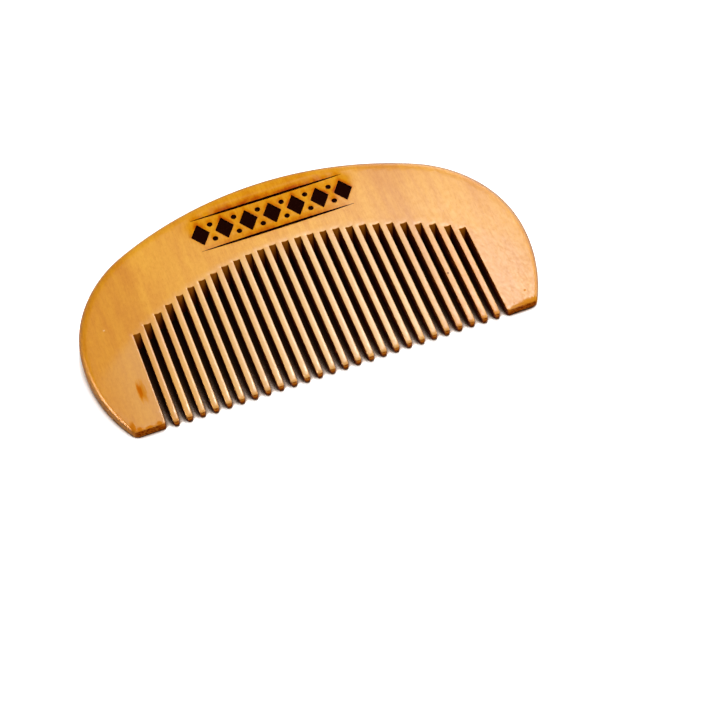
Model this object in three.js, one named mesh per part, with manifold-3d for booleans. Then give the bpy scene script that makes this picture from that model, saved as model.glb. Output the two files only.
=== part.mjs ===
// A half-moon wooden beard comb, sawn and sanded from one solid board.
// Units are millimetres, +Z is up. The comb lies flat on its lower face, which is the plane z = 0.
// +X runs along the comb, +Y runs from the tooth tips to the spine, and the origin is the middle
// of the comb's footprint on the resting face.
import * as THREE from 'three';
import { mergeVertices } from 'three/addons/utils/BufferGeometryUtils.js';
import Module from 'manifold-3d';

const wasm = await Module();
wasm.setup();

// ---- Driving dimensions -------------------------------------------------------------------------
const COMB_LENGTH = 105;        // guard side to guard side, at the widest place
const COMB_HEIGHT = 55.4;       // tooth tips to the top of the spine
const WIDEST_Y = 20.8;          // height above the tips of the widest place
const SPINE_THICKNESS = 10;     // at the top of the spine
const TIP_THICKNESS = 2.2;      // at the tooth tips
const SHOULDER_RADIUS = 29.2;   // in the face's plane, widest place up to the spine
const SIDE_RADIUS = 41;         // in the face's plane, widest place down to the guard's end
const CORNER_RADIUS = 1.5;      // in the face's plane, outer corner of each guard
const EDGE_ROUNDING = 0.3;      // radius of the outer edges, as a share of the local thickness

const SLOT_COUNT = 27;
const SLOT_PITCH = 3;
const SLOT_WIDTH = 1.6;
const SLOT_DEPTH = 36.15;       // tips to the end of the middle slot
const SLOT_DEPTH_DROP = 10.9;   // how much the outermost slots fall short by the square law
const SLOT_DEPTH_DROP_4 = 0.8;  // and by the fourth-power law
const TIP_RADIUS = 0.6;         // in the face's plane, each side of a tooth's tip

const BURN_DEPTH = 0.35;        // depth of the burnt ornament
const BAND_Y = 44.7;              // centre line of the ornament above the tips
const LOZENGE_COUNT = 7;
const LOZENGE_PITCH = 5.8;
const LOZENGE_WIDTH = 4.4;
const LOZENGE_HEIGHT = 6;
const DOT_RADIUS = 0.6;
const DOT_OFFSET = 2.1;         // from the ornament's centre line to each dot
const RULE_LENGTH = 37;         // tapered rules above and below the lozenges
const RULE_WIDTH = 0.6;
const RULE_OFFSET = 4.5;        // from the ornament's centre line to each rule

const WOOD_COLOUR = 0xd99a55;
const WOOD_ROUGHNESS = 0.42;

// Segments in each arc of the half outline, from the guard's corner to the top of the spine.
const CORNER_STEPS = 4;
const SIDE_STEPS = 7;
const SHOULDER_STEPS = 12;
const SPINE_STEPS = 9;
const EDGE_STEPS = 4;           // in each rounded edge
const TIP_STEPS = 3;            // in each side of a tooth's tip
const DOT_STEPS = 12;

// ---- Values worked out from them ----------------------------------------------------------------
const HALF_LENGTH = COMB_LENGTH / 2;
const HALF_WEDGE = Math.atan((SPINE_THICKNESS - TIP_THICKNESS) / 2 / COMB_HEIGHT);
const OVERCUT = 2;              // cutters reach this far past the wood

// Half the comb's thickness at a height y above the tips, square to the middle plane.
function halfThickness(y) {
  return TIP_THICKNESS / 2 + y * Math.tan(HALF_WEDGE);
}

// The arcs of the right half outline, bottom to top: each has a centre, a radius, and two angles.
function halfOutlineArcs() {
  const sideX = HALF_LENGTH - SIDE_RADIUS;
  const shoulderX = HALF_LENGTH - SHOULDER_RADIUS;
  const cornerX =
    sideX + Math.sqrt((SIDE_RADIUS - CORNER_RADIUS) ** 2 - (WIDEST_Y - CORNER_RADIUS) ** 2);
  const cornerAngle = Math.atan2(CORNER_RADIUS - WIDEST_Y, cornerX - sideX);

  // The spine's arc is centred on x = 0, passes through the top, and is tangent to the shoulder.
  const rise = COMB_HEIGHT - WIDEST_Y;
  const spineRadius =
    (shoulderX ** 2 + rise ** 2 - SHOULDER_RADIUS ** 2) / (2 * (rise - SHOULDER_RADIUS));
  const spineY = COMB_HEIGHT - spineRadius;
  const spineAngle = Math.atan2(WIDEST_Y - spineY, shoulderX);

  return [
    { x: cornerX, y: CORNER_RADIUS, r: CORNER_RADIUS, from: -Math.PI / 2, to: cornerAngle,
      steps: CORNER_STEPS },
    { x: sideX, y: WIDEST_Y, r: SIDE_RADIUS, from: cornerAngle, to: 0, steps: SIDE_STEPS },
    { x: shoulderX, y: WIDEST_Y, r: SHOULDER_RADIUS, from: 0, to: spineAngle,
      steps: SHOULDER_STEPS },
    { x: 0, y: spineY, r: spineRadius, from: spineAngle, to: Math.PI / 2, steps: SPINE_STEPS },
  ];
}

// The whole outline, counter-clockwise from the right guard, as points with outward normals.
function outline() {
  const right = [];
  for (const arc of halfOutlineArcs()) {
    for (let i = right.length ? 1 : 0; i <= arc.steps; i += 1) {
      const angle = arc.from + ((arc.to - arc.from) * i) / arc.steps;
      const nx = Math.cos(angle);
      const ny = Math.sin(angle);
      right.push({ x: arc.x + arc.r * nx, y: arc.y + arc.r * ny, nx, ny });
    }
  }
  const left = right
    .slice(0, -1)
    .reverse()
    .map((p) => ({ x: -p.x, y: p.y, nx: -p.nx, ny: p.ny }));
  return [...right, ...left];
}

// ---- Solids ------------------------------------------------------------------------------------
function toManifold(geometry) {
  const bare = geometry.clone();
  bare.deleteAttribute('normal');
  bare.deleteAttribute('uv');
  const merged = mergeVertices(bare, 1e-5);
  return new wasm.Manifold(
    new wasm.Mesh({
      numProp: 3,
      vertProperties: Float32Array.from(merged.attributes.position.array),
      triVerts: Uint32Array.from(merged.index.array),
    }),
  );
}

function toGeometry(solid) {
  const mesh = solid.getMesh();
  const geometry = new THREE.BufferGeometry();
  geometry.setAttribute('position', new THREE.BufferAttribute(mesh.vertProperties, 3));
  geometry.setIndex(new THREE.BufferAttribute(mesh.triVerts, 1));
  geometry.computeVertexNormals();
  return geometry;
}

// The uncut blank: a wedge-shaped plate whose outer edges are rounded all the way round.
function blankGeometry() {
  const points = outline();
  const quarter = Math.PI / 2;
  const stations = [];
  for (let i = 0; i <= EDGE_STEPS; i += 1) {
    stations.push({ angle: (quarter * i) / EDGE_STEPS, side: 1 });
  }
  for (let i = EDGE_STEPS; i >= 0; i -= 1) {
    stations.push({ angle: (quarter * i) / EDGE_STEPS, side: -1 });
  }

  const positions = [];
  for (const { angle, side } of stations) {
    for (const p of points) {
      const radius = EDGE_ROUNDING * 2 * halfThickness(p.y);
      const inset = radius * (1 - Math.sin(angle));
      const y = p.y - p.ny * inset;
      const z = halfThickness(y) - radius * (1 - Math.cos(angle));
      positions.push(p.x - p.nx * inset, y, side * z);
    }
  }

  const count = points.length;
  const index = [];
  for (let ring = 0; ring < stations.length - 1; ring += 1) {
    for (let i = 0; i < count; i += 1) {
      const a = ring * count + i;
      const b = ring * count + ((i + 1) % count);
      index.push(a, a + count, b, b, a + count, b + count);
    }
  }
  const rim = points.map((p, i) => new THREE.Vector2(positions[3 * i], positions[3 * i + 1]));
  const lastRing = (stations.length - 1) * count;
  for (const [a, b, c] of THREE.ShapeUtils.triangulateShape(rim, [])) {
    index.push(a, b, c, lastRing + a, lastRing + c, lastRing + b);
  }

  const geometry = new THREE.BufferGeometry();
  geometry.setAttribute('position', new THREE.Float32BufferAttribute(positions, 3));
  geometry.setIndex(index);
  return geometry;
}

function slotEnd(x) {
  const reach = x / (SLOT_PITCH * ((SLOT_COUNT - 1) / 2));
  return SLOT_DEPTH - SLOT_DEPTH_DROP * reach ** 2 - SLOT_DEPTH_DROP_4 * reach ** 4;
}

// One saw slot: square at its end, flared by two arcs at its mouth so that the tips are round.
function slotGeometry(x) {
  const half = SLOT_WIDTH / 2;
  const mouth = half + TIP_RADIUS;
  const shape = new THREE.Shape();
  shape.moveTo(x - mouth, -OVERCUT);
  shape.lineTo(x + mouth, -OVERCUT);
  shape.lineTo(x + mouth, 0);
  shape.absarc(x + mouth, TIP_RADIUS, TIP_RADIUS, -Math.PI / 2, -Math.PI, true);
  shape.lineTo(x + half, slotEnd(x));
  shape.lineTo(x - half, slotEnd(x));
  shape.absarc(x - mouth, TIP_RADIUS, TIP_RADIUS, 0, -Math.PI / 2, true);
  const depth = SPINE_THICKNESS + 2 * OVERCUT;
  const geometry = new THREE.ExtrudeGeometry(shape, {
    depth,
    bevelEnabled: false,
    curveSegments: TIP_STEPS,
  });
  return geometry.translate(0, 0, -depth / 2);
}

// A flat shape, drawn with the tip line as y = 0, sunk into the upper face by the burn depth.
function burnGeometry(shape) {
  const geometry = new THREE.ExtrudeGeometry(shape, {
    depth: BURN_DEPTH + OVERCUT,
    bevelEnabled: false,
    curveSegments: DOT_STEPS,
  });
  geometry.translate(0, 0, -BURN_DEPTH);
  geometry.rotateX(HALF_WEDGE);
  return geometry.translate(0, 0, halfThickness(0));
}

function lozenge(x, y, width, height) {
  return new THREE.Shape([
    new THREE.Vector2(x - width / 2, y),
    new THREE.Vector2(x, y - height / 2),
    new THREE.Vector2(x + width / 2, y),
    new THREE.Vector2(x, y + height / 2),
  ]);
}

function dot(x, y) {
  const shape = new THREE.Shape();
  shape.absarc(x, y, DOT_RADIUS, 0, 2 * Math.PI, false);
  return shape;
}

// The ornament: a row of lozenges, and on both sides of its centre line a row of dots between them
// and a tapered rule.
function ornamentShapes() {
  const shapes = [];
  const firstX = (-LOZENGE_PITCH * (LOZENGE_COUNT - 1)) / 2;
  for (let i = 0; i < LOZENGE_COUNT; i += 1) {
    shapes.push(lozenge(firstX + i * LOZENGE_PITCH, BAND_Y, LOZENGE_WIDTH, LOZENGE_HEIGHT));
  }
  for (const side of [-1, 1]) {
    for (let i = 1; i < LOZENGE_COUNT; i += 1) {
      shapes.push(dot(firstX + (i - 0.5) * LOZENGE_PITCH, BAND_Y + side * DOT_OFFSET));
    }
    shapes.push(lozenge(0, BAND_Y + side * RULE_OFFSET, RULE_LENGTH, RULE_WIDTH));
  }
  return shapes;
}

function combGeometry() {
  let solid = toManifold(blankGeometry());
  for (let i = 0; i < SLOT_COUNT; i += 1) {
    const x = (i - (SLOT_COUNT - 1) / 2) * SLOT_PITCH;
    solid = solid.subtract(toManifold(slotGeometry(x)));
  }
  for (const shape of ornamentShapes()) {
    solid = solid.subtract(toManifold(burnGeometry(shape)));
  }
  return toGeometry(solid);
}

// ---- Assembly ----------------------------------------------------------------------------------
// The comb is drawn about its middle plane, so it is tipped by half its wedge angle to lie on its
// lower face, and moved back by half its height.
const wood = new THREE.MeshStandardMaterial({
  color: WOOD_COLOUR,
  roughness: WOOD_ROUGHNESS,
  metalness: 0,
});
const comb = new THREE.Mesh(combGeometry(), wood);
comb.name = 'comb_body';
comb.rotation.x = HALF_WEDGE;
comb.position.set(0, -COMB_HEIGHT / 2, (TIP_THICKNESS / 2) * Math.cos(HALF_WEDGE));

const beardComb = new THREE.Group();
beardComb.add(comb);

export default beardComb;
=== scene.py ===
"""Looks for the beard comb: a finer mesh of the one wooden piece, its finish, and a plain studio.

Outlines are drawn in millimetres about the comb's middle plane, with the tooth tips on y = 0 and
the spine towards +Y. The finished mesh is then laid on its lower face and set into the CAD box.
"""

import math
import random

import bmesh
import bpy
import numpy as np
from mathutils import Matrix, Vector
from mathutils.geometry import delaunay_2d_cdt


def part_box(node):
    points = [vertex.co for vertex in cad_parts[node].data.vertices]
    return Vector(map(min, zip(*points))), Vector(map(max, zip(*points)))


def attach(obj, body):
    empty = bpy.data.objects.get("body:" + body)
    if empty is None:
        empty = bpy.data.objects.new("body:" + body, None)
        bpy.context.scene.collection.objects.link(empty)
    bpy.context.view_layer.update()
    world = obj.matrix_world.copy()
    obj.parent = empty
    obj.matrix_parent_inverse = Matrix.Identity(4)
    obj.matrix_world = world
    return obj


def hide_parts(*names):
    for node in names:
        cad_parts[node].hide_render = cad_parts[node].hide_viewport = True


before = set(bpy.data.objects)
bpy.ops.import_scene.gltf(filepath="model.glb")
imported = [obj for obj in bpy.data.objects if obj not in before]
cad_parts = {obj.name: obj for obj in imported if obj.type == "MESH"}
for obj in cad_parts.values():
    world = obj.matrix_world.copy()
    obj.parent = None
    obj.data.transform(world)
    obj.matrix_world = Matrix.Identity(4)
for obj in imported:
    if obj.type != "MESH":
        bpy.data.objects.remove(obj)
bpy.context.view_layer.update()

MM = 0.001

# ---- The comb's driving dimensions, in millimetres ----------------------------------------------
CAD_LOW, CAD_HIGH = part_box("comb_body")
LENGTH = (CAD_HIGH.x - CAD_LOW.x) / MM
HEIGHT = 55.4
WIDEST_Y = 20.8
SPINE_THICKNESS = 10.0
TIP_THICKNESS = 2.2
SHOULDER_RADIUS = 29.2
SIDE_RADIUS = 41.0
CORNER_RADIUS = 1.5
EDGE_ROUNDING = 0.3             # outer edge radius, as a share of the local thickness

SLOT_COUNT = 27
SLOT_PITCH = 3.0
SLOT_WIDTH = 1.6
SLOT_DEPTH = 36.15
SLOT_DEPTH_DROP = 10.9
SLOT_DEPTH_DROP_4 = 0.8
SLOT_END_RADIUS = 0.1
SLOT_END_CROWN = 0.18           # the saw cuts the corners of a slot's end this much deeper
SLOT_EDGE_RADIUS = 0.17         # eased edge between the face and a slot's wall
SLOT_EDGE_LEAN = 0.07           # walls that face right are eased this much more, the others less
AXIS_WANDER = 0.03              # a slot stands to one side of its place by up to this much,
WALL_WANDER = 0.02              # each of its walls in or out by up to this much,
END_WANDER = 0.12               # and its end high or low by up to this much
SAWN_SHARPNESS = 8              # how sharply an eased edge turns into sawn wall
TIP_RADIUS = 0.6
TIP_WEAR = 0.2                  # sanding took up to this much off a tooth's tip
TIP_EDGE_RADIUS = 0.3
NOSE_LENGTH = 4.0               # the teeth thin down over this length, by this much on each face
NOSE_DROP = 0.18
DOME_LENGTH = 0.9               # their last stretch is round in profile
DOME_DROP = 0.6
TOOTH_CROWN = 0.03              # each tooth's face is this much lower at its edges than on its axis
CROWN_FADE = 2.0
GUARD_END_RADIUS = {-1: 0.25, 1: 0.95}  # the left guard's end is crisp, the right one sanded round
GUARD_END_BLEND = 1.0
LEFT_GUARD_SHORT = 0.45         # the left guard was cut this much short of the tooth tips

BURN_DEPTH = 0.35
BURN_SECTION = (                # a burnt hollow's wall: offset out from its outline, and depth
    (0.05, 0.0),
    (0.0, 0.06),
    (-0.05, BURN_DEPTH - 0.05),
    (-0.10, BURN_DEPTH),
)
BAND_Y = 44.7
LOZENGE_COUNT = 7
LOZENGE_PITCH = 5.8
LOZENGE_WIDTH = 4.4
LOZENGE_HEIGHT = 6.0
LOZENGE_CORNER = 0.12
DOT_RADIUS = 0.6
DOT_OFFSET = 2.1                # dots sit in pairs, above and below the centre line
RULE_LENGTH = 37.0
RULE_WIDTH = 0.6
RULE_END = 0.12                 # share of that width that is left at a rule's ends
RULE_OFFSET = 4.5

# Smoke from the burning stains the wood, and dulls its finish further out. Each row is a drift
# towards the spine, the strength there, and the spread, in millimetres.
SMOKE = ((0.1, 2.5, 0.08), (0.4, 2.4, 0.28), (0.8, 1.5, 0.30), (1.4, 0.55, 0.55), (2.2, 0.25, 0.9))
SMOKY = {"lozenge": 1.0, "dot": 0.6, "upper rule": 1.5, "lower rule": 0.8}  # how smoky each was
DULLING = ((0.5, 0.9, 0.6), (1.5, 0.9, 0.9), (3.0, 0.9, 1.6))
RIM_FADE = 0.9                  # the finish, with painted shade, darkens the outer rim over this distance
TOOTH_FADE = 3.0                # the teeth are paler than the spine, partly by a painted sheen, with this soft a border
OUTER_TEETH_FADE = 0.55         # the outermost teeth are this much less pale, with less painted sheen, than the middle ones

# ---- Mesh density -------------------------------------------------------------------------------
EDGE_STEPS = 6
CORNER_STEPS = 8
SIDE_STEPS = 18
SHOULDER_STEPS = 40
SPINE_STEPS = 36
FILLET_STEPS = 6
GUARD_STEPS = 4
NOSE_STEPS = 6                  # along a slot's wall, beside the thin nose
WALL_STEPS = 8                  # and from there to the slot's end
DOT_STEPS = 24
RULE_STEPS = 36
TOOTH_ROWS = (0.4, 0.55, 0.75, 1.0, 1.4)        # heights of the inner points at a tooth's nose
TOOTH_ROW_STEP = 1.0                            # and their spacing from there on
TOOTH_COLUMNS = (-0.4, -0.2, 0.0, 0.2, 0.4)     # their places beside the tooth's axis
FACE_GRID = 1.2                 # spacing of the points inside the faces
BAND_GRID = 0.45                # and around the ornament
BAND_MARGIN = (3.0, 2.2)        # how far that finer grid reaches past the rules, along X and Y
SMOKE_MARGIN = (9.0, 3.0)       # how far smoke is looked for past the rules, along X and Y
OUTLINE_CLEARANCE = 0.1         # no inner point this close to the comb's outline
BURN_CLEARANCE = 0.15           # or this close to a burnt shape
STRAIGHT = 1e-6                 # a turn of less than this, in radians, isn't a corner

HALF_WEDGE = math.atan((SPINE_THICKNESS - TIP_THICKNESS) / 2 / HEIGHT)
TEETH_REACH = SLOT_PITCH * (SLOT_COUNT - 1) / 2     # from the middle to the outermost slots' axes
QUARTER = math.pi / 2

sawing = random.Random(27)


# ---- Outlines -----------------------------------------------------------------------------------
def outer_arcs():
    """Right half of the outer outline, guard corner to spine top: centre, radius, angles, steps."""
    side_x = LENGTH / 2 - SIDE_RADIUS
    shoulder_x = LENGTH / 2 - SHOULDER_RADIUS
    corner_x = side_x + math.sqrt((SIDE_RADIUS - CORNER_RADIUS) ** 2 - (WIDEST_Y - CORNER_RADIUS) ** 2)
    corner_angle = math.atan2(CORNER_RADIUS - WIDEST_Y, corner_x - side_x)
    rise = HEIGHT - WIDEST_Y
    spine_radius = (shoulder_x ** 2 + rise ** 2 - SHOULDER_RADIUS ** 2) / (2 * (rise - SHOULDER_RADIUS))
    spine_y = HEIGHT - spine_radius
    spine_angle = math.atan2(WIDEST_Y - spine_y, shoulder_x)
    return [
        (corner_x, CORNER_RADIUS, CORNER_RADIUS, -QUARTER, corner_angle, CORNER_STEPS),
        (side_x, WIDEST_Y, SIDE_RADIUS, corner_angle, 0.0, SIDE_STEPS),
        (shoulder_x, WIDEST_Y, SHOULDER_RADIUS, 0.0, spine_angle, SHOULDER_STEPS),
        (0.0, spine_y, spine_radius, spine_angle, QUARTER, SPINE_STEPS),
    ]


def outer_outline():
    """Points and outward normals (x, y, nx, ny), from the right guard's corner round to the left's."""
    right = []
    for cx, cy, radius, start, end, steps in outer_arcs():
        for i in range(1 if right else 0, steps + 1):
            angle = start + (end - start) * i / steps
            nx, ny = math.cos(angle), math.sin(angle)
            right.append((cx + radius * nx, cy + radius * ny, nx, ny))
    left = [(-x, y, -nx, ny) for x, y, nx, ny in reversed(right[:-1])]
    return right + left


def fillet_path(corners):
    """Rounds the corners (x, y, radius) of an open path, and gives points with outward normals.

    Outward is to the right of travel. The first and last corners are left out.
    """
    points = []
    for before, corner, after in zip(corners, corners[1:], corners[2:]):
        here = Vector(corner[:2])
        incoming = (here - Vector(before[:2])).normalized()
        outgoing = (Vector(after[:2]) - here).normalized()
        turn = math.atan2(incoming.x * outgoing.y - incoming.y * outgoing.x, incoming.dot(outgoing))
        radius = corner[2]
        if radius == 0 or abs(turn) < STRAIGHT:
            points.append((here.x, here.y, incoming.y, -incoming.x))
            continue
        side = math.copysign(1.0, turn)
        start = here - incoming * radius * math.tan(abs(turn) / 2)
        centre = start + Vector((-incoming.y, incoming.x)) * radius * side
        for i in range(FILLET_STEPS + 1):
            heading = Matrix.Rotation(turn * i / FILLET_STEPS, 2) @ incoming
            normal = Vector((heading.y, -heading.x))
            place = centre + normal * radius * side
            points.append((place.x, place.y, normal.x, normal.y))
    return points


def slot_end(x):
    """How far up the slot at x reaches."""
    reach = x / TEETH_REACH
    return SLOT_DEPTH - SLOT_DEPTH_DROP * reach ** 2 - SLOT_DEPTH_DROP_4 * reach ** 4


def wall_heights(end):
    """Where a slot's wall gets points, above its rounded tip: closest together beside the nose."""
    near = [NOSE_LENGTH * i / NOSE_STEPS for i in range(2, NOSE_STEPS + 1)]
    far = [NOSE_LENGTH + (end - NOSE_LENGTH) * i / WALL_STEPS for i in range(1, WALL_STEPS)]
    return near + far


def toothed_edge(first, last):
    """The edge from the left guard's corner to the right guard's, in and out of every slot.

    Saw and sandpaper leave each tooth a little different.
    """
    corners = [first]
    outermost = TEETH_REACH + SLOT_WIDTH / 2
    guard_end = abs(first[0]) - outermost
    guard_steps = [outermost + guard_end * i / GUARD_STEPS for i in range(GUARD_STEPS - 1, 0, -1)]
    corners += [(-x, 0.0, 0.0) for x in guard_steps]
    tip_y = 0.0
    for i in range(SLOT_COUNT):
        x = (i - (SLOT_COUNT - 1) / 2) * SLOT_PITCH + sawing.uniform(-AXIS_WANDER, AXIS_WANDER)
        half = SLOT_WIDTH / 2 + sawing.uniform(-WALL_WANDER, WALL_WANDER)
        end = slot_end(x) + sawing.uniform(-END_WANDER, END_WANDER)
        next_tip_y = 0.0 if i == SLOT_COUNT - 1 else sawing.uniform(0.0, TIP_WEAR)
        corners.append((x - half, tip_y, TIP_RADIUS))
        corners += [(x - half, y, 0.0) for y in wall_heights(end)]
        corners.append((x - half, end, SLOT_END_RADIUS))
        corners.append((x, end - SLOT_END_CROWN, half))
        corners.append((x + half, end, SLOT_END_RADIUS))
        corners += [(x + half, y, 0.0) for y in reversed(wall_heights(end))]
        corners.append((x + half, next_tip_y, TIP_RADIUS))
        tip_y = next_tip_y
    corners += [(x, 0.0, 0.0) for x in reversed(guard_steps)]
    corners.append(last)
    return fillet_path(corners)


def comb_boundary():
    """The closed plan outline as an array of rows x, y, nx, ny, and a 1 on its outer stretch."""
    outer = outer_outline()
    start, end = outer[-1], outer[0]
    teeth = toothed_edge((start[0], 0.0, 0.0), (end[0], 0.0, 0.0))
    outermost = TEETH_REACH + SLOT_WIDTH / 2 + TIP_RADIUS
    share = [min(1.0, max(0.0, (abs(p[0]) - outermost) / GUARD_END_BLEND)) for p in teeth]
    points = np.array(outer + teeth)
    near_end = np.clip(1 - points[:, 1] / (WIDEST_Y / 2), 0, 1)
    points[:, 1] += np.where(points[:, 0] < -TEETH_REACH, LEFT_GUARD_SHORT * near_end, 0)
    return points, np.array([1.0] * len(outer) + share)


# ---- Thickness ----------------------------------------------------------------------------------
def half_wedge(y):
    """Half the thickness of the plain wedge."""
    return TIP_THICKNESS / 2 + y * math.tan(HALF_WEDGE)


def half_thickness(x, y):
    """Half the thickness: a wedge, whose teeth are crowned across and have thin round noses."""
    nose = NOSE_DROP * np.clip(1 - y / NOSE_LENGTH, 0, 1) ** 2
    dome = DOME_DROP * (1 - np.sqrt(1 - np.clip(1 - y / DOME_LENGTH, 0, 1) ** 2))
    from_axis = (x / SLOT_PITCH) % 1 - 0.5
    across = from_axis * SLOT_PITCH / ((SLOT_PITCH - SLOT_WIDTH) / 2)
    crown = TOOTH_CROWN * across ** 2 * np.clip((slot_end(x) - y) / CROWN_FADE, 0, 1)
    return half_wedge(y) - np.where(abs(x) < TEETH_REACH, nose + dome + crown, 0)


def edge_radii(points, outer_share):
    """The radius of the rounded edge at each boundary point."""
    x, y = points[:, 0], points[:, 1]
    outer = EDGE_ROUNDING * 2 * half_wedge(y)
    near_tip = np.clip(1 - y / NOSE_LENGTH, 0, 1)
    eased = SLOT_EDGE_RADIUS + SLOT_EDGE_LEAN * points[:, 2]
    slot = eased + (TIP_EDGE_RADIUS - eased) * near_tip ** 2
    guard_end = np.where(x < 0, GUARD_END_RADIUS[-1], GUARD_END_RADIUS[1])
    at_end = np.clip(1 - y / CORNER_RADIUS, 0, 1) ** 2
    outer = outer + (guard_end - outer) * at_end
    return outer * outer_share + slot * (1 - outer_share)


# ---- Ornament -----------------------------------------------------------------------------------
def closed_fillet(corners, radius):
    """A closed polygon with every corner rounded, as rows x, y, nx, ny and the room for insets."""
    rounded = [(x, y, radius) for x, y in corners]
    points = fillet_path([rounded[-1]] + rounded + [rounded[0]])
    return np.array([(*p, 1.0) for p in points])


def lozenge_loop(x):
    half_w, half_h = LOZENGE_WIDTH / 2, LOZENGE_HEIGHT / 2
    corners = [(x, BAND_Y - half_h), (x + half_w, BAND_Y), (x, BAND_Y + half_h), (x - half_w, BAND_Y)]
    return closed_fillet(corners, LOZENGE_CORNER)


def dot_loop(x, y):
    angles = [2 * math.pi * i / DOT_STEPS for i in range(DOT_STEPS)]
    normals = [(math.cos(a), math.sin(a)) for a in angles]
    return np.array([(x + DOT_RADIUS * nx, y + DOT_RADIUS * ny, nx, ny, 1.0) for nx, ny in normals])


def rule_loop(y):
    """A long tapered stroke. Its insets shrink with its width, so they never cross."""
    lower, upper = [], []
    for i in range(RULE_STEPS + 1):
        u = 2 * i / RULE_STEPS - 1
        half = RULE_WIDTH / 2 * (RULE_END + (1 - RULE_END) * (1 - abs(u) ** 3))
        room = half / (RULE_WIDTH / 2)
        lower.append((u * RULE_LENGTH / 2, y - half, 0.0, -1.0, room))
        upper.append((u * RULE_LENGTH / 2, y + half, 0.0, 1.0, room))
    return np.array(lower + upper[::-1])


def ornament_loops():
    """The burnt shapes' outlines, and how smoky each one's burning was."""
    loops, smoky = [], []
    first_x = -LOZENGE_PITCH * (LOZENGE_COUNT - 1) / 2
    for i in range(LOZENGE_COUNT):
        loops.append(lozenge_loop(first_x + i * LOZENGE_PITCH))
        smoky.append(SMOKY["lozenge"])
        if i:
            between = first_x + (i - 0.5) * LOZENGE_PITCH
            loops += [dot_loop(between, BAND_Y + side * DOT_OFFSET) for side in (-1, 1)]
            smoky += [SMOKY["dot"]] * 2
    loops += [rule_loop(BAND_Y + RULE_OFFSET), rule_loop(BAND_Y - RULE_OFFSET)]
    smoky += [SMOKY["upper rule"], SMOKY["lower rule"]]
    return loops, smoky


# ---- Distances ----------------------------------------------------------------------------------
def distance_to_loop(points, loop):
    """Shortest distance from each point to a closed loop of points."""
    a = loop[:, :2]
    b = np.roll(a, -1, axis=0)
    along = b - a
    length_2 = np.maximum((along ** 2).sum(axis=1), 1e-12)
    best = np.full(len(points), np.inf)
    for start, step, size in zip(a, along, length_2):
        t = np.clip(((points - start) @ step) / size, 0, 1)
        nearest = start + t[:, None] * step
        best = np.minimum(best, np.hypot(*(points - nearest).T))
    return best


def inside_loop(points, loop):
    """Which of the points lie inside a closed loop of points."""
    x, y = points[:, 0], points[:, 1]
    inside = np.zeros(len(points), bool)
    a = loop[:, :2]
    for (x0, y0), (x1, y1) in zip(a, np.roll(a, -1, axis=0)):
        if y0 == y1:
            continue
        crosses = (y0 > y) != (y1 > y)
        inside ^= crosses & (x < (x1 - x0) * (y - y0) / (y1 - y0) + x0)
    return inside


# ---- The mesh -----------------------------------------------------------------------------------
class MeshRows:
    """Vertices, with how sawn and how deep in a slot they are, and faces with their material."""

    def __init__(self):
        self.places = []
        self.sawn = []
        self.depth = []
        self.faces = []
        self.materials = []

    def add(self, x, y, z, sawn=0.0, depth=0.0):
        self.places.append((x, y, z))
        self.sawn.append(sawn)
        self.depth.append(depth)
        return len(self.places) - 1

    def face(self, corners, material=0):
        self.faces.append(tuple(corners))
        self.materials.append(material)

    def band(self, ring_a, ring_b, material=0):
        """Joins two rings of the same count with quads that face away from ring_a's left."""
        count = len(ring_a)
        for i in range(count):
            j = (i + 1) % count
            self.face((ring_a[i], ring_b[i], ring_b[j], ring_a[j]), material)


def triangulate(loops, inner):
    """Triangles between the first loop and the others, which are convex holes, through inner points.

    Returns the triangles as indices into the loops' points followed by the inner points.
    """
    points, edges, owner = [], [], []
    for number, loop in enumerate(loops):
        base, count = len(points), len(loop)
        points += [Vector(p) for p in loop]
        edges += [(base + i, base + (i + 1) % count) for i in range(count)]
        owner += [number] * count
    points += [Vector(p) for p in inner]
    owner += [0] * len(inner)
    triangles_inside, tolerance = 1, 1e-7
    result = delaunay_2d_cdt(points, edges, [], triangles_inside, tolerance)
    if len(result[0]) != len(points):
        raise ValueError(f"triangulation changed {len(points)} points into {len(result[0])}")
    source = [group[0] for group in result[3]]
    triangles = [[source[i] for i in triangle] for triangle in result[2]]
    return [t for t in triangles if owner[t[0]] == 0 or len({owner[i] for i in t}) > 1]


def tooth_points():
    """Points along every tooth, on its axis and beside it, closest together at the round nose."""
    heights = list(TOOTH_ROWS)
    while heights[-1] < SLOT_DEPTH:
        heights.append(heights[-1] + TOOTH_ROW_STEP)
    points = []
    for i in range(1, SLOT_COUNT):
        axis = (i - SLOT_COUNT / 2) * SLOT_PITCH
        beside_slots = [y for y in heights if y < slot_end(axis)]
        points += [(axis + dx, y) for y in beside_slots for dx in TOOTH_COLUMNS]
    return points


def face_points(boundary, loops):
    """Inner points of a face: rows along the teeth, a coarse grid, and a finer one at the ornament."""
    band_reach = RULE_LENGTH / 2 + BAND_MARGIN[0]
    band_bottom = BAND_Y - (RULE_OFFSET + BAND_MARGIN[1])
    grid = tooth_points()
    for spacing, in_band in ((FACE_GRID, False), (BAND_GRID, True)):
        for row in range(int(HEIGHT / spacing) + 1):
            shift = 0.5 * (row % 2)
            for column in range(int(LENGTH / spacing) + 1):
                x = -LENGTH / 2 + (column + shift) * spacing
                y = row * spacing
                near_band = abs(x) < band_reach and y > band_bottom
                on_teeth = abs(x) < TEETH_REACH and y < slot_end(x)
                if near_band == in_band and not on_teeth:
                    grid.append((x, y))
    grid = np.array(grid)
    keep = inside_loop(grid, boundary) & (distance_to_loop(grid, boundary) > OUTLINE_CLEARANCE)
    grid = grid[keep]
    for loop in loops:
        keep = ~inside_loop(grid, loop) & (distance_to_loop(grid, loop) > BURN_CLEARANCE)
        grid = grid[keep]
    return grid


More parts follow.
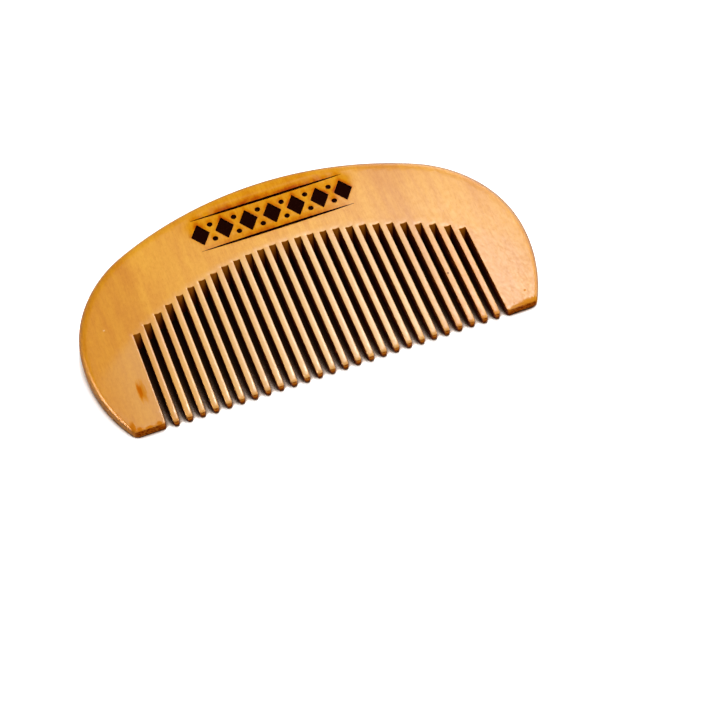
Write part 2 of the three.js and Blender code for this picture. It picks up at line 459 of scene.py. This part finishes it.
def add_side_rings(rows, points, radii, outer_share):
    """Rings from the upper face's rim down to the lower face's, with rounded edges."""
    rings = []
    stations = [(QUARTER * i / EDGE_STEPS, 1) for i in range(EDGE_STEPS + 1)]
    stations += [(angle, -1) for angle, _ in reversed(stations)]
    for angle, side in stations:
        inset = radii * (1 - math.sin(angle))
        x = points[:, 0] - points[:, 2] * inset
        y = points[:, 1] - points[:, 3] * inset
        z = half_thickness(x, y) - radii * (1 - math.cos(angle))
        sawn = (1 - outer_share) * math.sin(angle) ** SAWN_SHARPNESS
        depth = np.full(len(x), 0.0 if side > 0 else 1.0)
        rings.append([rows.add(*place) for place in zip(x, y, side * z, sawn, depth)])
    for upper, lower in zip(rings, rings[1:]):
        rows.band(upper, lower)
    return rings


def add_recess(rows, loop):
    """The burnt hollow inside one ornament loop. Returns the ring that the upper face joins."""
    rings = []
    tapered = np.ptp(loop[:, 4]) > 0
    room = loop[:, 4] * (RULE_WIDTH if tapered else 1.0)
    for offset, depth in BURN_SECTION:
        x = loop[:, 0] + loop[:, 2] * offset * room
        y = loop[:, 1] + loop[:, 3] * offset * room
        z = half_thickness(x, y) - depth
        rings.append([rows.add(*place) for place in zip(x, y, z)])
    for upper, lower in zip(rings, rings[1:]):
        rows.band(lower, upper, 1)
    floor = [rows.places[i][:2] for i in rings[-1]]
    for triangle in triangulate([floor], []):
        rows.face([rings[-1][i] for i in triangle], 1)
    return rings[0]


def add_cap(rows, rim, holes, side):
    """The upper (side 1) or lower (side -1) face inside a rim, round the holes."""
    loops = [np.array([rows.places[i][:2] for i in ring]) for ring in [rim] + holes]
    inner = face_points(loops[0], loops[1:])
    z = half_thickness(inner[:, 0], inner[:, 1]) * side
    added = [rows.add(x, y, h) for (x, y), h in zip(inner, z)]
    index = [i for ring in [rim] + holes for i in ring] + added
    for triangle in triangulate(loops, inner):
        corners = [index[i] for i in triangle]
        rows.face(corners if side > 0 else corners[::-1])


def smoke_at(points, loops, smoky, plumes):
    """How strongly smoke worked beside the burnt shapes, which it left towards the spine.

    A tapered stroke smoked less where it is thin.
    """
    amount = np.zeros(len(points))
    for loop, share in zip(loops, smoky):
        along = loop[np.argsort(loop[:, 0])]
        width = np.interp(points[:, 0], along[:, 0], along[:, 4])
        for drift, strength, spread in plumes:
            moved = points - (0.0, drift)
            distance = np.where(inside_loop(moved, loop), 0.0, distance_to_loop(moved, loop))
            amount = np.maximum(amount, share * width * strength * np.exp(-distance / spread))
    return amount


def shading_values(rows, outer, loops, smoky):
    """Values that the wood material reads at each vertex, by attribute name."""
    places = np.array(rows.places)
    flat = places[:, :2]
    across, along = abs(flat[:, 0]), flat[:, 1]
    smoke_reach = RULE_LENGTH / 2 + SMOKE_MARGIN[0]
    smoke_bottom = BAND_Y - RULE_OFFSET - SMOKE_MARGIN[1]
    near = (places[:, 2] > 0) & (along > smoke_bottom) & (across < smoke_reach)
    scorch, dull = np.zeros(len(places)), np.zeros(len(places))
    scorch[near] = smoke_at(flat[near], loops, smoky, SMOKE)
    dull[near] = np.minimum(1.0, smoke_at(flat[near], loops, [1.0] * len(loops), DULLING))
    above_slots = (along - slot_end(across)) / TOOTH_FADE
    # The teeth's paleness is partly a painted sheen.
    paleness_and_sheen = 1 - OUTER_TEETH_FADE * (across / TEETH_REACH) ** 2
    return {
        "sawn": np.array(rows.sawn),
        "depth": np.array(rows.depth),
        "scorch": scorch,
        "dull": dull,
        "rim": np.exp(-distance_to_loop(flat, outer) / RIM_FADE),
        "tooth": np.clip(0.5 - above_slots, 0, 1) * np.clip(paleness_and_sheen, 0, 1),
    }


def comb_mesh():
    points, outer_share = comb_boundary()
    radii = edge_radii(points, outer_share)
    loops, smoky = ornament_loops()
    rows = MeshRows()
    rings = add_side_rings(rows, points, radii, outer_share)
    holes = [add_recess(rows, loop) for loop in loops]
    add_cap(rows, rings[0], holes, 1)
    add_cap(rows, rings[-1], [], -1)
    mesh = bpy.data.meshes.new("comb_wood")
    mesh.from_pydata([Vector(p) * MM for p in rows.places], [], rows.faces)
    for name, values in shading_values(rows, np.array(outer_outline()), loops, smoky).items():
        attribute = mesh.attributes.new(name, "FLOAT", "POINT")
        attribute.data.foreach_set("value", values.astype(np.float32))
    place = mesh.attributes.new("plan", "FLOAT_VECTOR", "POINT")
    place.data.foreach_set("vector", np.array(rows.places, np.float32).ravel())
    mesh.polygons.foreach_set("material_index", rows.materials)
    return mesh


def lay_in_box(mesh, low, high):
    """Tips the mesh onto its lower face, then fits its bounds to the box of the CAD node."""
    mesh.transform(Matrix.Rotation(HALF_WEDGE, 4, "X"))
    places = np.array([v.co for v in mesh.vertices])
    size = places.max(axis=0) - places.min(axis=0)
    wanted = np.array(high) - np.array(low)
    scale = wanted / size
    mesh.transform(Matrix.Diagonal((*scale, 1.0)))
    mesh.transform(Matrix.Translation(Vector(low) - Vector(places.min(axis=0) * scale)))
    return scale


def check_closed(mesh):
    """Stops the script if the mesh isn't one closed body that faces outwards."""
    work = bmesh.new()
    work.from_mesh(mesh)
    open_edges = [e for e in work.edges if not e.is_manifold]
    volume = work.calc_volume(signed=True)
    work.free()
    if open_edges or volume <= 0:
        raise ValueError(f"comb mesh: {len(open_edges)} open edges, volume {volume}")
    return volume


def smooth_with_sharp_burns(comb):
    """Smooth shading, with the flat faces kept flat and the burnt shapes' rims kept crisp."""
    mesh = comb.data
    mesh.shade_smooth()
    material_of_edge = {}
    sharp = np.zeros(len(mesh.edges), bool)
    for face in mesh.polygons:
        for loop in face.loop_indices:
            edge = mesh.loops[loop].edge_index
            known = material_of_edge.setdefault(edge, face.material_index)
            sharp[edge] |= known != face.material_index
    mesh.attributes.new("sharp_edge", "BOOLEAN", "EDGE").data.foreach_set("value", sharp)
    weighted = comb.modifiers.new("flat faces stay flat", "WEIGHTED_NORMAL")
    weighted.weight = 100
    weighted.keep_sharp = True


def build_comb():
    mesh = comb_mesh()
    scale = lay_in_box(mesh, CAD_LOW, CAD_HIGH)
    volume = check_closed(mesh)
    print("comb scale to CAD box", [round(float(s), 5) for s in scale], "volume ml", volume * 1e6)
    comb = bpy.data.objects.new("comb_wood", mesh)
    bpy.context.scene.collection.objects.link(comb)
    smooth_with_sharp_burns(comb)
    return comb


# ---- Materials ----------------------------------------------------------------------------------
class Nodes:
    """Short ways to write a node tree: inputs are values, or other nodes' outputs."""

    def __init__(self, tree):
        self.tree = tree
        self.tree.nodes.clear()

    def add(self, kind, inputs=None, **settings):
        node = self.tree.nodes.new(kind)
        for key, value in settings.items():
            setattr(node, key, value)
        for key, value in (inputs or {}).items():
            self.feed(node.inputs[key], value)
        return node

    def feed(self, socket, value):
        if isinstance(value, bpy.types.NodeSocket):
            self.tree.links.new(value, socket)
        elif isinstance(value, (tuple, list)) and len(value) == 3 and socket.type == "RGBA":
            socket.default_value = (*value, 1.0)
        else:
            socket.default_value = value

    def math(self, operation, a, b=0.0):
        return self.add("ShaderNodeMath", {0: a, 1: b}, operation=operation).outputs[0]

    def times(self, a, b):
        return self.math("MULTIPLY", a, b)

    def plus(self, a, b):
        return self.math("ADD", a, b)

    def attribute(self, name, output="Fac"):
        return self.add("ShaderNodeAttribute", attribute_name=name).outputs[output]

    def axes(self, vector):
        return self.add("ShaderNodeSeparateXYZ", {0: vector}).outputs

    def noise(self, plan, across, along, detail=2.0, roughness=0.5):
        """Noise of this many cycles per millimetre across the fibres, and along them, which is Y."""
        place = self.add("ShaderNodeMapping", {"Vector": plan, "Scale": (across, along, across)})
        values = {"Vector": place.outputs[0], "Scale": 1.0, "Detail": detail, "Roughness": roughness}
        return self.add("ShaderNodeTexNoise", values).outputs["Fac"]

    def band(self, value, low, high, to_low=0.0, to_high=1.0):
        """Maps low..high smoothly onto to_low..to_high."""
        values = {"Value": value, "From Min": low, "From Max": high, "To Min": to_low, "To Max": to_high}
        node = self.add("ShaderNodeMapRange", values, interpolation_type="SMOOTHSTEP")
        return node.outputs[0]

    def mix(self, share, a, b, blend="MIX"):
        node = self.add("ShaderNodeMix", data_type="RGBA", blend_type=blend)
        self.feed(node.inputs["Factor"], share)
        self.feed(next(i for i in node.inputs if i.name == "A" and i.type == "RGBA"), a)
        self.feed(next(i for i in node.inputs if i.name == "B" and i.type == "RGBA"), b)
        return next(o for o in node.outputs if o.type == "RGBA")

    def stain(self, colour, tint, amount):
        """Filters a colour through a stain: by tint at amount 1, by its square at 2, and so on."""
        passed = [self.math("POWER", channel, amount) for channel in tint]
        mask = self.add("ShaderNodeCombineColor", dict(enumerate(passed))).outputs[0]
        return self.mix(1.0, colour, mask, "MULTIPLY")

    def bump(self, height, distance, strength):
        values = {"Height": height, "Distance": distance, "Strength": strength}
        return self.add("ShaderNodeBump", values).outputs[0]

    def finish(self, **inputs):
        shader = self.add("ShaderNodeBsdfPrincipled", {k.replace("_", " "): v for k, v in inputs.items()})
        self.add("ShaderNodeOutputMaterial", {"Surface": shader.outputs[0]})


def material(name):
    made = bpy.data.materials.new(name)
    made.use_nodes = True
    return made, Nodes(made.node_tree)


# Linear colours of the wood under its clear finish. The pale one holds a painted sheen, and the long slot
# walls hold painted shade.
WOOD_LIGHT = (0.76, 0.335, 0.018)
WOOD_MID = (0.70, 0.285, 0.012)
# Paler wood of the teeth, with a painted sheen in it.
WOOD_PALE_AND_SHEEN = (0.75, 0.470, 0.220)
SAWN_SIDE_SHADED = (0.13, 0.020, 0.002)        # the long walls of the slots: sawn wood painted darker as shade
SAWN_END = (0.34, 0.080, 0.004)         # their short ends, lighter than the long walls with their painted shade

# Stains, and painted shade laid on like stains, as the share of red, green and blue that each lets
# through.
LATEWOOD_STAIN = (0.89, 0.78, 0.55)
ZONE_STAIN = (0.90, 0.82, 0.50)
# The rim's stain: partly a darker finish, partly painted shade.
RIM_STAIN_AND_SHADE = (0.93, 0.86, 0.70)
TURNED_RIM_SHADE = (0.55, 0.50, 0.45)     # painted shade on the rim where it turns right or back
END_GRAIN_STAIN = (0.50, 0.29, 0.12)
SMOKE_STAIN = (0.861, 0.670, 0.082)
KNOT_STAIN = (0.90, 0.66, 0.18)
PIT_STAIN = (0.30, 0.16, 0.10)
FLANK_SHADE = (0.90, 0.55, 0.22)        # painted shade on the left flanks of the teeth on the right
# painted shade in the slots, darker towards the lower face and lighter at the top
SLOT_DEPTH_SHADE = (0.45, 0.28, 0.20)
CHAR = (0.010, 0.0016, 0.0008)
CHAR_LIGHT = (0.030, 0.007, 0.003)

TOOTH_PALENESS_AND_SHEEN = 0.6            # how far the teeth go towards the pale wood with its painted sheen
RIM_DARKENING = 2.0             # how many coats of the rim's stain and painted shade the rim has

# How glossy the finish is on the flat face, on the rim, and on edges that turn right.
FACE_GLOSS = 0.19
RIM_GLOSS = 0.5
EDGE_GLOSS = 0.65
STEEP_GLOSS = 0.35              # share of it that is left on upright faces
RIM_ROUGHENING = 0.16           # the rim's finish is this much rougher than the face's
SAWN_ROUGHENING = 0.4           # and sawn wood this much
FINISH_WAVES = 0.00003          # metres of relief
CHAR_GRIT = 0.00008

# The wood's noises: cycles per millimetre across and along the fibres, detail, roughness.
FIGURE = {
    "cloud": (0.085, 0.035, 3.0, 0.55),
    "streak": (0.55, 0.045, 3.0, 0.6),
    "fibre": (3.2, 0.22, 3.0, 0.6),
    "fleck": (1.7, 0.9, 3.0, 0.7),
    "pore": (7.5, 1.3, 1.0, 0.5),
}

# Where those noises darken the wood: the noise's low and high, and the amount of stain at each.
# An amount below zero lightens it.
FIGURE_STAIN = {
    "streak": (0.35, 0.75, -0.25, 0.42),
    "fibre": (0.35, 0.80, -0.18, 0.36),
    "fleck": (0.30, 0.80, -0.30, 0.45),
    "pore": (0.66, 0.80, 0.0, 1.3),
}

# Small marks in the upper face: x, y, half width, half height, stain, strength. They are a knot and
# its core, a pit, two specks, and the darkened ends of the left guard and of the right one.
MARKS = (
    (-42.3, 9.9, 1.2, 3.4, KNOT_STAIN, 0.8),
    (-42.65, 10.2, 0.55, 2.4, KNOT_STAIN, 1.4),
    (31.3, 14.2, 0.22, 0.26, PIT_STAIN, 1.2),
    (45.5, 3.6, 0.32, 0.30, KNOT_STAIN, 0.8),
    (41.9, 1.3, 0.22, 0.22, KNOT_STAIN, 0.6),
    (-46.8, 2.0, 0.75, 1.8, KNOT_STAIN, 0.9),
    (-45.5, 1.0, 1.0, 0.8, KNOT_STAIN, 1.0),
    (-43.4, 0.8, 1.2, 0.5, KNOT_STAIN, 0.9),
    (-41.1, 0.9, 1.0, 0.75, KNOT_STAIN, 0.9),
    (46.3, 0.5, 4.8, 1.25, KNOT_STAIN, 0.28),
)
CHIP = (-45.5, 28.0, 0.30, 0.22)        # a pale fleck in the left shoulder
CHIP_COLOUR = (0.85, 0.66, 0.36)


def figure_bands(n, plan):
    """A darker zone in the left shoulder and a darker band in the right one, with wavy borders."""
    wander = n.noise(plan, 0.25, 0.05)
    across = n.plus(n.axes(plan)[0], n.times(n.math("SUBTRACT", wander, 0.5), 5.0))
    zone = n.band(across, -37.0, -33.5, 1.1, 0.0)
    ridge = n.band(n.math("ABSOLUTE", n.math("SUBTRACT", across, 27.0)), 0.0, 7.0, 1.0, 0.0)
    return n.plus(zone, ridge)


def growth_rings(n, plan):
    """Faint latewood lines that wander along the fibres."""
    wander = n.noise(plan, 0.045, 0.012)
    place = n.plus(n.times(n.axes(plan)[0], 0.13), n.times(wander, 6.5))
    return n.math("PINGPONG", place, 1.0)


def ellipse(n, plan, x, y, half_width, half_height):
    """0 at the middle of an ellipse in the plan, and 1 on its edge."""
    across, along, _ = n.axes(plan)
    u = n.times(n.math("SUBTRACT", across, x), 1 / half_width)
    v = n.times(n.math("SUBTRACT", along, y), 1 / half_height)
    return n.math("SQRT", n.plus(n.times(u, u), n.times(v, v)))


def wood_colour(n, plan, figure):
    colour = n.mix(n.band(figure["cloud"], 0.25, 0.75, 0.15, 0.85), WOOD_MID, WOOD_LIGHT)
    colour = n.stain(colour, ZONE_STAIN, figure_bands(n, plan))
    colour = n.stain(colour, LATEWOOD_STAIN, n.band(growth_rings(n, plan), 0.72, 1.0, 0.0, 0.45))
    for name, darkening in FIGURE_STAIN.items():
        colour = n.stain(colour, LATEWOOD_STAIN, n.band(figure[name], *darkening))
    return colour


def teeth_and_rim_with_painted_shade(n, colour, plan, facing):
    """Paler teeth, partly by a painted sheen; painted shade on the left flanks of the teeth on the right;
    and a rim darkened by its finish and by painted shade, most where it turns right or back.
    """
    tooth, rim = n.attribute("tooth"), n.attribute("rim")
    # Paler teeth, partly a painted sheen.
    colour = n.mix(n.times(tooth, TOOTH_PALENESS_AND_SHEEN), colour, WOOD_PALE_AND_SHEEN)
    # The rim's darker finish, with painted shade in it.
    colour = n.stain(colour, RIM_STAIN_AND_SHADE, n.times(rim, RIM_DARKENING))
    # Painted shade on the rim where it turns right or back.
    turned = n.plus(n.times(facing[0], 0.8), n.times(facing[1], 0.7))
    turned_rim_shade = n.times(n.band(turned, 0.05, 0.45), n.band(rim, 0.12, 0.3))
    colour = n.stain(colour, TURNED_RIM_SHADE, turned_rim_shade)
    # Painted shade on the left flanks of the teeth on the right.
    on_right = n.band(n.axes(plan)[0], 20.0, 38.0)
    left_flank_shade = n.times(n.band(facing[0], -0.10, 0.10, 1.0, 0.0), on_right)
    return n.stain(colour, FLANK_SHADE, n.times(left_flank_shade, tooth))


def cut_across(n, colour, plan, facing):
    """Brown end grain on the guard ends, and less on the back. Returns the colour and where it is."""
    guard_end = n.band(facing[1], -1.0, -0.70, 1.0, 0.0)
    open_end = n.plus(guard_end, n.band(facing[1], 0.70, 1.0, 0.0, 0.3))
    pitted = n.band(n.noise(plan, 2.6, 2.6), 0.42, 0.66, 0.8, 2.2)
    return n.stain(colour, END_GRAIN_STAIN, n.times(open_end, pitted)), open_end


def sawn_slots(n, colour, facing):
    """The slots' walls: the long ones painted darker as shade, with painted shade deepening towards the
    lower face and painted light at the top.
    """
    at_end = n.band(n.math("ABSOLUTE", facing[1]), 0.5, 0.9)
    wall = n.mix(at_end, SAWN_SIDE_SHADED, SAWN_END)
    # Painted shade deepening towards the lower face, and painted light at the top.
    wall = n.stain(wall, SLOT_DEPTH_SHADE, n.band(n.attribute("depth"), 0.0, 1.0, -0.5, 0.9))
    return n.mix(n.attribute("sawn"), colour, wall)


def smoked(n, colour, plan, figure):
    """The smoke's stain, which came in gusts and took unevenly."""
    gusts = n.band(n.noise(plan, 0.24, 0.30, detail=1.0), 0.35, 0.65, 0.55, 1.4)
    cloudy = n.times(n.band(figure["fleck"], 0.25, 0.75, 0.75, 1.2), gusts)
    return n.stain(colour, SMOKE_STAIN, n.times(n.attribute("scorch"), cloudy))


def marked(n, colour, plan, figure):
    """The marks and the chip, on the upper face only. Returns the colour and where it is dull."""
    upper = n.math("GREATER_THAN", n.axes(plan)[2], 0.0)
    ragged = n.band(figure["fibre"], 0.3, 0.7, -0.2, 0.2)
    dull = 0.0
    for x, y, half_width, half_height, stain, strength in MARKS:
        from_middle = n.plus(ellipse(n, plan, x, y, half_width, half_height), ragged)
        inside = n.times(n.band(from_middle, 0.35, 1.1, 1.0, 0.0), upper)
        colour = n.stain(colour, stain, n.times(inside, strength))
        dull = n.math("MAXIMUM", dull, inside)
    chip = n.band(ellipse(n, plan, *CHIP), 0.5, 1.1, 0.55, 0.0)
    return n.mix(n.times(chip, upper), colour, CHIP_COLOUR), dull


def gloss_of_finish(n, figure, facing, dull):
    """How glossy each place is: unevenly so, and not at all where it is dull."""
    rim = n.band(n.attribute("rim"), 0.05, 0.6, FACE_GLOSS, RIM_GLOSS)
    edges = n.band(facing[0], 0.01, 0.12, FACE_GLOSS, EDGE_GLOSS)
    uneven = n.band(figure["fleck"], 0.3, 0.8, 1.1, 0.85)
    glossy = n.times(n.math("MAXIMUM", rim, edges), uneven)
    glossy = n.times(glossy, n.band(facing[2], 0.05, 0.45, STEEP_GLOSS, 1.0))
    return n.times(glossy, n.band(dull, 0.0, 1.0, 1.0, 0.0))


def roughness_of_finish(n, figure):
    rough = n.band(figure["fleck"], 0.3, 0.8, 0.29, 0.36)
    rough = n.plus(rough, n.times(n.attribute("sawn"), SAWN_ROUGHENING))
    return n.plus(rough, n.times(n.attribute("rim"), RIM_ROUGHENING))


def comb_wood():
    """Fruit wood under a thin clear finish, which is dull on marks, end grain and smoked wood."""
    made, n = material("comb_wood")
    plan = n.attribute("plan", "Vector")
    facing = n.axes(n.add("ShaderNodeNewGeometry").outputs["Normal"])
    figure = {name: n.noise(plan, *row) for name, row in FIGURE.items()}
    colour = wood_colour(n, plan, figure)
    colour = teeth_and_rim_with_painted_shade(n, colour, plan, facing)
    colour, open_end = cut_across(n, colour, plan, facing)
    colour = sawn_slots(n, colour, facing)
    colour = smoked(n, colour, plan, figure)
    colour, dull_marks = marked(n, colour, plan, figure)
    dull = n.math("MAXIMUM", n.attribute("dull"), n.math("MAXIMUM", dull_marks, open_end))
    relief = n.plus(n.times(figure["fibre"], 0.6), n.times(figure["fleck"], 0.4))
    n.finish(
        Base_Color=colour,
        Roughness=roughness_of_finish(n, figure),
        Normal=n.bump(relief, FINISH_WAVES, 0.15),
        IOR=1.5,
        Specular_IOR_Level=gloss_of_finish(n, figure, facing, dull),
    )
    return made


def char():
    """Burnt wood: nearly black, matt and gritty."""
    made, n = material("char")
    grit = n.noise(n.attribute("plan", "Vector"), 5.0, 2.5, detail=4.0, roughness=0.7)
    colour = n.mix(n.band(grit, 0.50, 0.80), CHAR, CHAR_LIGHT)
    relief = n.bump(grit, CHAR_GRIT, 0.8)
    n.finish(Base_Color=colour, Roughness=0.9, Specular_IOR_Level=0.0, Normal=relief)
    return made


# ---- Stage --------------------------------------------------------------------------------------
ROOM_IN_REFLECTIONS = 0.35      # reflections see the room this bright
SWEEP_IN_REFLECTIONS = 1.3      # and its white right-hand wall this bright
WINDOW_IN_REFLECTIONS = 3.4     # more so low down, where that wall is lit
LAMP_IN_REFLECTIONS = 26.0      # a small lamp far to the left
LAMP_DIRECTION = (-0.750, 0.110, 0.652)
LAMP_SPREAD = (0.94, 0.985)     # cosines of the angles where its glow starts and where it is full
PAPER_IN_REFLECTIONS = 0.35     # share of the paper's brightness that reflections see
ROOM_AS_LIGHT = 0.06
FLOOR_SIZE = 3.0                # metres from the middle to each side
FLOOR_GAP = 0.00002             # metres between the paper and the comb, so their faces don't coincide
FLOOR_WHITE = (0.86, 0.86, 0.86)
FLOOR_GLOW = 0.85               # the camera sees the floor this much brighter, away from contact shadows
CONTACT_REACH = 0.006           # metres over which the painted contact shadow darkens the paper
# Colour of the painted contact shadow beside and under the comb.
PAINTED_CONTACT_SHADOW = (0.055, 0.023, 0.009)
PAINTED_BOUNCE_LIGHT = (1.0, 0.72, 0.52)    # painted light: warm bounce off the wood, laid on the paper

# Softboxes: direction from the comb, distance and diameter in metres, watts.
KEY = ((0.247, 0.298, 0.922), 0.9, 0.17, 6.72)
FRONT_FILL = ((0.10, -0.80, 0.60), 0.8, 0.25, 2.4)


def floor_material():
    """White paper that glows up to pure white for the camera wherever nothing is close above it, with a
    painted contact shadow and painted bounce light near the comb.
    """
    made, n = material("floor")
    path = n.add("ShaderNodeLightPath").outputs
    mirrored = path["Is Glossy Ray"]
    seen = n.math("MAXIMUM", path["Is Camera Ray"], n.times(mirrored, PAPER_IN_REFLECTIONS))
    open_sky = n.add("ShaderNodeAmbientOcclusion", {"Distance": CONTACT_REACH}, samples=16).outputs["AO"]
    # The camera's glow fades out close to the comb, into the painted contact shadow.
    glow = n.times(n.band(open_sky, 0.42, 0.66, 0.0, FLOOR_GLOW), seen)
    # Painted warm bounce light on the paper near the comb.
    painted_bounce_tint = n.mix(n.band(open_sky, 0.42, 0.64), PAINTED_BOUNCE_LIGHT, (1, 1, 1))
    white = n.mix(1.0, FLOOR_WHITE, painted_bounce_tint, "MULTIPLY")
    # Painted contact shadow where the comb is close above the paper.
    paper = n.mix(n.band(open_sky, 0.30, 0.60), PAINTED_CONTACT_SHADOW, white)
    dimmed = n.math("SUBTRACT", 1.0, n.times(mirrored, 1 - PAPER_IN_REFLECTIONS))
    paper = n.mix(dimmed, (0, 0, 0), paper)
    n.finish(Base_Color=paper, Roughness=0.8, Specular_IOR_Level=0.0, Emission_Color=painted_bounce_tint,
             Emission_Strength=glow)
    return made


def floor():
    mesh = bpy.data.meshes.new("floor")
    corners = [(x * FLOOR_SIZE, y * FLOOR_SIZE, 0) for x, y in ((-1, -1), (1, -1), (1, 1), (-1, 1))]
    mesh.from_pydata(corners, [], [(0, 1, 2, 3)])
    mesh.materials.append(floor_material())
    board = bpy.data.objects.new("floor", mesh)
    board.location.z = CAD_LOW.z - FLOOR_GAP
    bpy.context.scene.collection.objects.link(board)


def softbox(name, direction, distance, size, watts, mirrored=True):
    light = bpy.data.lights.new(name, "AREA")
    light.shape = "DISK"
    light.size = size
    light.energy = watts
    lamp = bpy.data.objects.new(name, light)
    lamp.location = Vector(direction).normalized() * distance
    lamp.rotation_euler = Vector(direction).to_track_quat("Z", "Y").to_euler()
    lamp.visible_glossy = mirrored
    bpy.context.scene.collection.objects.link(lamp)


def room():
    """White walls as the camera sees them, dimmer in reflections, and nearly dark as a light."""
    world = bpy.data.worlds.new("studio")
    bpy.context.scene.world = world
    world.use_nodes = True
    n = Nodes(world.node_tree)
    path = n.add("ShaderNodeLightPath").outputs
    direction = n.add("ShaderNodeTexCoord").outputs["Generated"]
    towards = n.axes(direction)
    wall = n.times(n.band(towards[0], 0.1, 0.5), n.band(towards[2], 0.55, 0.80, 1.0, 0.0))
    window = n.times(n.band(towards[0], 0.24, 0.42), n.band(towards[2], 0.62, 0.80, 1.0, 0.0))
    aim = n.add("ShaderNodeVectorMath", {0: direction, 1: LAMP_DIRECTION}, operation="DOT_PRODUCT")
    lamp = n.band(aim.outputs["Value"], *LAMP_SPREAD, 0.0, LAMP_IN_REFLECTIONS)
    mirrored = n.band(wall, 0.0, 1.0, ROOM_IN_REFLECTIONS, SWEEP_IN_REFLECTIONS)
    mirrored = n.math("MAXIMUM", mirrored, n.times(window, WINDOW_IN_REFLECTIONS))
    mirrored = n.plus(mirrored, lamp)
    seen = n.math("MAXIMUM", path["Is Camera Ray"], n.times(path["Is Glossy Ray"], mirrored))
    strength = n.math("MAXIMUM", seen, ROOM_AS_LIGHT)
    sky = n.add("ShaderNodeBackground", {"Color": (1, 1, 1), "Strength": strength})
    n.add("ShaderNodeOutputWorld", {"Surface": sky.outputs[0]})


def studio_light():
    softbox("key", *KEY)
    softbox("front_fill", *FRONT_FILL, mirrored=False)
    room()


# ---- Camera -------------------------------------------------------------------------------------
CAMERA_AZIMUTH = 15.16          # degrees from -Y towards -X
CAMERA_ELEVATION = 50.61
CAMERA_ROLL = -6.68
CAMERA_DISTANCE = 410.3         # millimetres
CAMERA_TARGET = (4.1, -30.0, 5.0)
CAMERA_LENS = 94.47
CAMERA_SENSOR = 36.0
CAMERA_NEAREST = 0.01           # metres; nothing nearer is drawn


def camera():
    data = bpy.data.cameras.new("camera")
    data.lens = CAMERA_LENS
    data.sensor_width = CAMERA_SENSOR
    data.clip_start = CAMERA_NEAREST
    azimuth, elevation = math.radians(CAMERA_AZIMUTH), math.radians(CAMERA_ELEVATION)
    level = math.cos(elevation)
    away = Vector((-math.sin(azimuth) * level, -math.cos(azimuth) * level, math.sin(elevation)))
    view = bpy.data.objects.new("camera", data)
    turn = away.to_track_quat("Z", "Y").to_matrix().to_4x4()
    roll = Matrix.Rotation(math.radians(CAMERA_ROLL), 4, "Z")
    place = Vector(CAMERA_TARGET) * MM + away * CAMERA_DISTANCE * MM
    view.matrix_world = Matrix.Translation(place) @ turn @ roll
    bpy.context.scene.collection.objects.link(view)
    bpy.context.scene.camera = view


# ---- Assembly -----------------------------------------------------------------------------------
comb = build_comb()
comb.data.materials.append(comb_wood())
comb.data.materials.append(char())
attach(comb, "root")
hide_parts("comb_body")

floor()
studio_light()
camera()
bpy.context.scene.view_settings.view_transform = "Standard"
